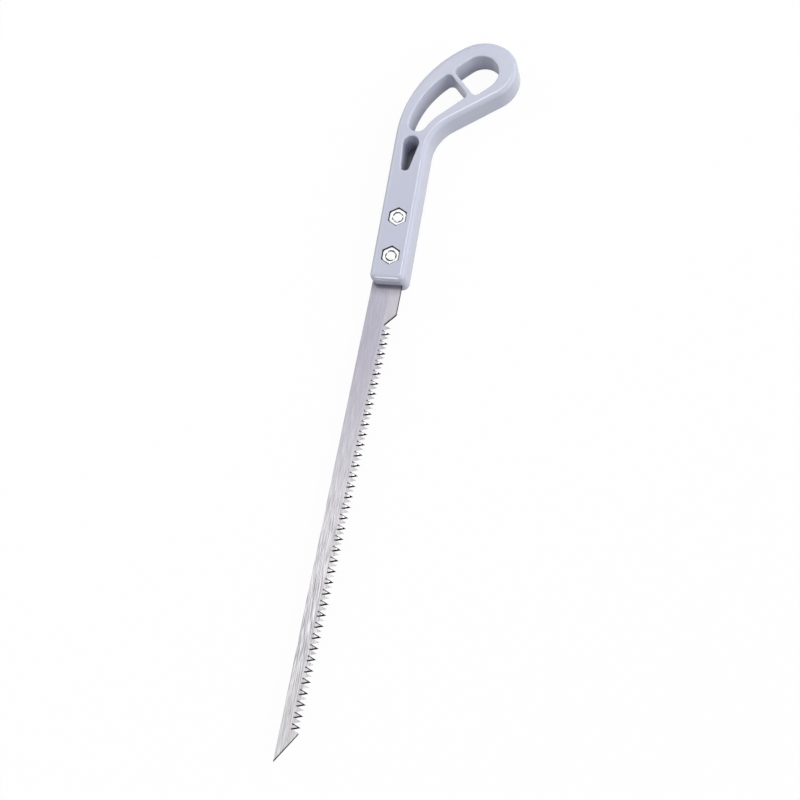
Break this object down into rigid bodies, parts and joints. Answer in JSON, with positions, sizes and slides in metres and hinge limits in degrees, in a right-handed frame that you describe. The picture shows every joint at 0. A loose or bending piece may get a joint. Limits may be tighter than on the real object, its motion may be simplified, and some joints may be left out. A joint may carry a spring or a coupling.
{
  "type": "pruning saw",
  "caption": "Small pruning saw: a straight toothed steel blade held by countersunk screws and let-in hexagon nuts in the socket of a pale moulded plastic handle with an open looped end",
  "frame": {"origin": "on the flat back face of the handle, midway between the two screws", "axes": "+X along the grip towards the point of the blade, +Y towards the teeth, +Z from the back face to the front face with the nuts"},
  "size_m": [0.3586, 0.0592, 0.0126],
  "materials": {
    "handle_plastic": "smooth satin moulding, pale lavender grey",
    "blade_steel": "brushed along its length",
    "zinc_plated_steel": "bright zinc plating"
  },
  "bodies": {
    "root": {"handle": "handle_plastic", "blade": "blade_steel", "front_screw": "zinc_plated_steel", "rear_screw": "zinc_plated_steel", "front_nut": "zinc_plated_steel", "rear_nut": "zinc_plated_steel"}
  },
  "joints": []
}
